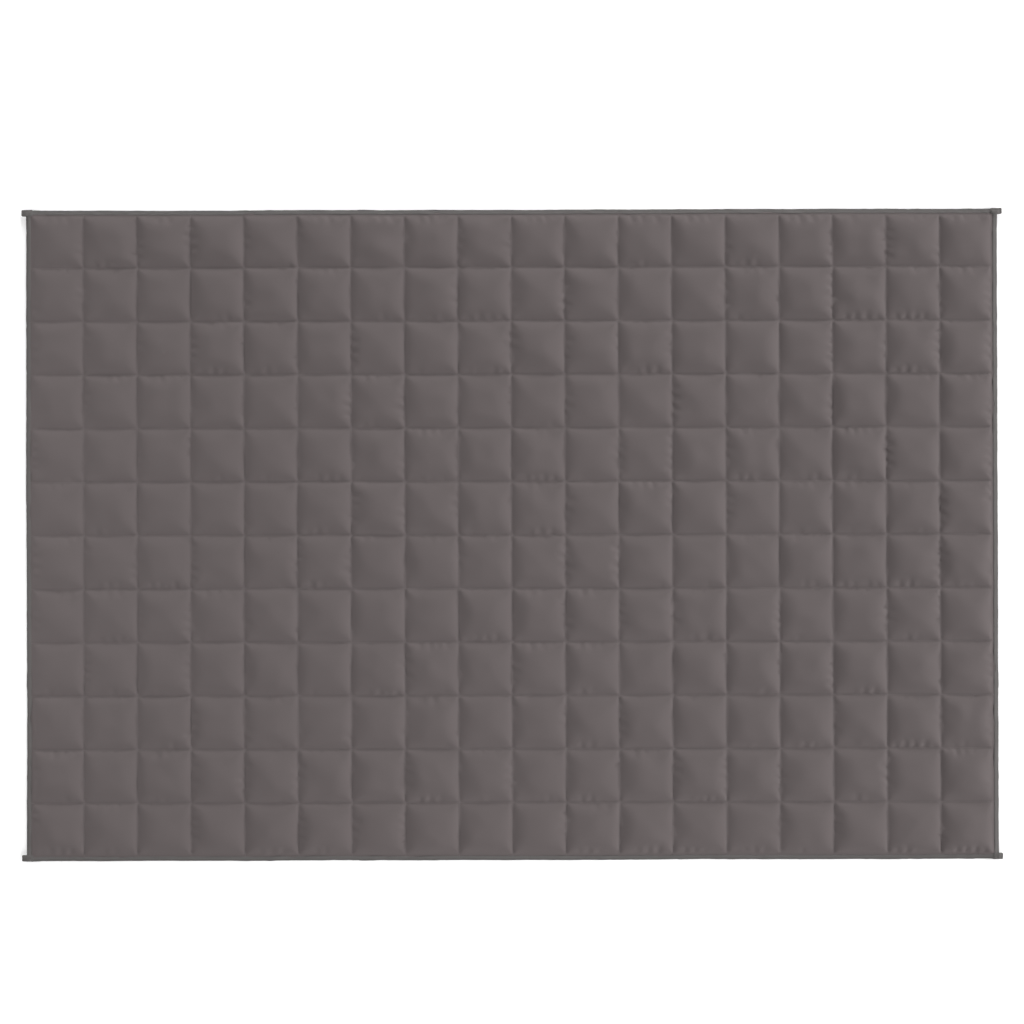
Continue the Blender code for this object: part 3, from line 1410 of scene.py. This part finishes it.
@dataclass
class Studio:
    """The floor, the lamps and the camera straight above the blanket."""

    lamps: tuple[Lamp, ...]
    ambient: float = 0.0
    backdrop_glow: float = 1.0
    backdrop_share: float = 0.45  # its radius, as a share of the floor's side
    near_glow: float = 0.25
    far_glow: float = 0.95
    glow_rises: tuple[float, float] = (1.4, 3.0)  # how far from the middle it starts and ends
    floor_side: float = 60.0
    floor_colour: tuple[float, float, float] = (0.95, 0.95, 0.95)
    floor_roughness: float = 0.9
    floor_shine: float = 0.1
    lens: float = 50.0  # in millimetres, as the sensor's width is
    sensor: float = 36.0
    sees: tuple[float, float] = (0.05, 100)  # how near and how far
    pixels: int = 1024
    metres_a_pixel: float = 0.0018552
    centre: tuple[float, float] = (512.18, 534.80)  # the pixel that the blanket's middle lies on
    roll: float = math.radians(-0.1475)

    def floor(self) -> None:
        """A plain pale floor, which glows faintly and more so far out, where no lamp reaches."""
        deselect()
        bpy.ops.mesh.primitive_plane_add(size=self.floor_side, location=(0, 0, 0))
        floor = bpy.context.active_object
        floor.name = "floor"
        nodes = Nodes("floor_white")
        away = nodes.value("ShaderNodeVectorMath", {"operation": "LENGTH"}, {0: nodes.place()}, "Value")
        near, far = self.glow_rises
        reach = {"From Min": near, "From Max": far, "To Min": self.near_glow, "To Max": self.far_glow}
        settings = {"interpolation_type": "SMOOTHSTEP"}
        glow = nodes.value("ShaderNodeMapRange", settings, {"Value": away} | reach, "Result")
        pale = {
            "Base Color": (*self.floor_colour, 1),
            "Roughness": self.floor_roughness,
            "Specular IOR Level": self.floor_shine,
        }
        glowing = {"Emission Color": nodes.shaded((1, 1, 1), glow), "Emission Strength": 1.0}
        floor.data.materials.append(nodes.finish(pale | glowing))

    def backdrop(self) -> None:
        """A plain white surround, far away, that only the camera sees."""
        deselect()
        radius = self.backdrop_share * self.floor_side
        bpy.ops.mesh.primitive_uv_sphere_add(radius=radius, segments=64, ring_count=32)
        dome = bpy.context.active_object
        dome.name = "backdrop"
        bpy.ops.object.shade_smooth()
        nodes = Nodes("backdrop_white")
        white = {"Base Color": (0, 0, 0, 1), "Roughness": 1.0, "Specular IOR Level": 0.0}
        glow = {"Emission Color": (1, 1, 1, 1), "Emission Strength": self.backdrop_glow}
        dome.data.materials.append(nodes.finish(white | glow))
        dome.visible_diffuse = dome.visible_glossy = dome.visible_shadow = False
        dome.visible_transmission = dome.visible_volume_scatter = False

    def world(self) -> None:
        """Even light from all round."""
        world = bpy.data.worlds.new("studio")
        world.use_nodes = True
        background = world.node_tree.nodes["Background"]
        background.inputs["Color"].default_value = (1, 1, 1, 1)
        background.inputs["Strength"].default_value = self.ambient
        bpy.context.scene.world = world

    def camera(self) -> None:
        """The camera, above the blanket and turned as slightly as the photograph is."""
        data = bpy.data.cameras.new("camera")
        data.lens, data.sensor_width = self.lens, self.sensor
        data.clip_start, data.clip_end = self.sees
        camera = bpy.data.objects.new("camera", data)
        distance = self.metres_a_pixel * self.pixels * self.lens / self.sensor
        across = -(self.centre[0] - self.pixels / 2) * self.metres_a_pixel
        up = (self.centre[1] - self.pixels / 2) * self.metres_a_pixel
        camera.rotation_euler = Euler((0, 0, self.roll))
        offset = camera.rotation_euler.to_matrix() @ Vector((across, up, 0))
        camera.location = Vector((offset.x, offset.y, distance))
        bpy.context.scene.collection.objects.link(camera)
        bpy.context.scene.camera = camera

    def build(self) -> None:
        """Builds everything."""
        self.floor()
        self.backdrop()
        self.world()
        self.camera()
        for lamp in self.lamps:
            lamp.build()
        bpy.context.scene.view_settings.view_transform = "Standard"


LAMPS = (
    Lamp("right", (6.0, 0.0, 1.8), 2.2, 0.6, 415.0),
    Lamp("right_low", (4.0, 0.0, 0.8), 2.2, 0.6, 69.0),
    Lamp("back", (0.0, 3.2, 0.96), 2.2, 0.6, 12.3),
    Lamp("back_low", (0.0, 3.2, 0.64), 2.2, 0.6, 105.5),
    Lamp("front", (0.0, -2.0, 0.9), 1.6, 0.4, 16.0),
    Lamp("front_low", (0.0, -3.2, 0.64), 2.2, 0.6, 28.5),
    Lamp("left_low", (-2.0, 0.0, 0.5), 1.6, 0.4, 20.3),
    Lamp("top", (0.0, 0.0, 1.2), 0.9, 0.5, 3.3),
)


TABS = {  # at the left and the right end; they differ a little, as the photograph's do
    Edge.BACK: (
        Tab(reach=0.0086, proud=0.0014, width=0.0106),
        Tab(reach=0.0088, proud=0.0010, width=0.0104, groove=0.0007, slant=0.0008, doubled=0.0007),
    ),
    Edge.FRONT: (
        Tab(reach=0.0090, proud=0.0006, width=0.0112),
        Tab(reach=0.0074, proud=0.0009, width=0.0108),
    ),
}


@dataclass
class Blanket:
    """The whole blanket: its quilt, its four bindings and its stitches."""

    sizes: Sizes = Sizes()
    wander: Wander = Wander()
    cloth: WovenCloth = WovenCloth("quilt_cloth", (0.1206, 0.1030, 0.1032))
    # The tape's finish paints shade along its fold and over its tabs.
    tape: WovenCloth = WovenCloth(
        "binding_tape", (0.1180, 0.1117, 0.1094), threads_a_metre=2600.0, painted_shade_darkens=0.14
    )
    thread: Thread = Thread("sewing_thread", (0.140, 0.124, 0.123))
    face: Filling = Filling()
    back: Filling = Filling(
        most_mm=2.0, pad_mm=0.0, gather_depth_mm=7.0, steps=((9, 60), (18, 120)), seed=2
    )
    past_sides: float = 0.017  # how much longer than the blanket an end binding is, with its tabs
    inside_ends: float = 0.003  # how much shorter than the blanket's width a side binding is
    line_points: tuple[int, int, int] = (60, 90, 200)  # of a seam across, along and in the tape
    thread_away: float = 0.0001  # how far out the thread lies on the cloth
    tape_stitch: float = 0.0036
    unsewn_end: float = 0.014  # of a binding's row of stitches, at each end

    def quilt(self) -> None:
        """The filled body."""
        piece = Quilt(self.sizes, self.wander, self.face, self.back, self.cloth).build()
        self.place(piece, "quilt_cloth")
        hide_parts("quilt")

    def bindings(self) -> None:
        """The four folded tapes, with the tabs at the ends of two of them."""
        s = self.sizes
        for edge in Edge:
            name = f"binding_{edge.name.lower()}"
            length = s.length + self.past_sides if edge.runs_along_x else s.width - self.inside_ends
            tabs = TABS.get(edge)
            piece = Binding(f"{name}_tape", edge, s, self.wander, self.tape, tabs).build()
            self.place(piece, "binding_tape")
            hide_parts(name)

    def seams(self) -> None:
        """The stitches between the squares and those in the tape, on the face and underneath."""
        for side, up in (("face", 1), ("back", -1)):
            stitches = Stitches(f"seam_stitches_{side}", self.thread)
            self.place(stitches.sew(self.square_lines(up), self.wander, up), "quilt_cloth")
        for side, up in (("face", 1), ("back", -1)):
            stitches = Stitches(f"binding_stitches_{side}", self.thread, pitch=self.tape_stitch)
            self.place(stitches.sew(self.tape_lines(up), self.wander, up), "binding_tape")

    def square_lines(self, up: int) -> list[Points]:
        """Where the seams between the squares run.

        Args:
            up: 1 for the face, -1 for underneath.

        Returns:
            The points of each seam.
        """
        s = self.sizes
        down_y = np.linspace(-s.half_y, s.half_y, self.line_points[0])
        along_x = np.linspace(-s.half_x, s.half_x, self.line_points[1])
        columns, rows = np.arange(1, s.columns) * s.pitch, np.arange(1, s.rows) * s.pitch
        lines = [(np.full_like(down_y, x - s.half_x), down_y) for x in columns]
        lines += [(along_x, np.full_like(along_x, y - s.half_y)) for y in rows]
        away = up * self.thread_away
        return [np.stack([x, y, s.seam_height(x, y, up > 0) + away], axis=-1) for x, y in lines]

    def tape_lines(self, up: int) -> list[Points]:
        """Where the stitches in the tape run.

        Args:
            up: 1 for the face, -1 for underneath.

        Returns:
            The points of the row along each edge.
        """
        s, tape = self.sizes, TapeSection()
        lines = []
        for edge in Edge:
            half, fold = s.length / 2, s.width / 2
            if not edge.runs_along_x:
                half, fold = fold, half
            end = half - self.unsewn_end
            along = np.linspace(-end, end, self.line_points[2])
            height = s.edge_height(half - np.abs(along)) + up * tape.seam_height_mm * MM
            lines.append(edge.place(along, np.full_like(along, fold - tape.seam_mm * MM), height))
        return lines

    def place(self, piece: bpy.types.Object, slot: str) -> None:
        """Puts a finished piece on the blanket's one body, and reports it.

        Args:
            piece: The piece.
            slot: Not used.
        """
        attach(piece, "root")
        triangles = sum(len(face.vertices) - 2 for face in piece.data.polygons)
        log.info("%s: %d triangles", piece.name, triangles)


def main() -> None:
    """Builds the blanket and its studio."""
    logging.basicConfig(level=logging.INFO, format="%(message)s")
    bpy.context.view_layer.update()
    blanket = Blanket()
    blanket.quilt()
    blanket.bindings()
    blanket.seams()
    Studio(LAMPS).build()


if __name__ == "__main__":
    main()
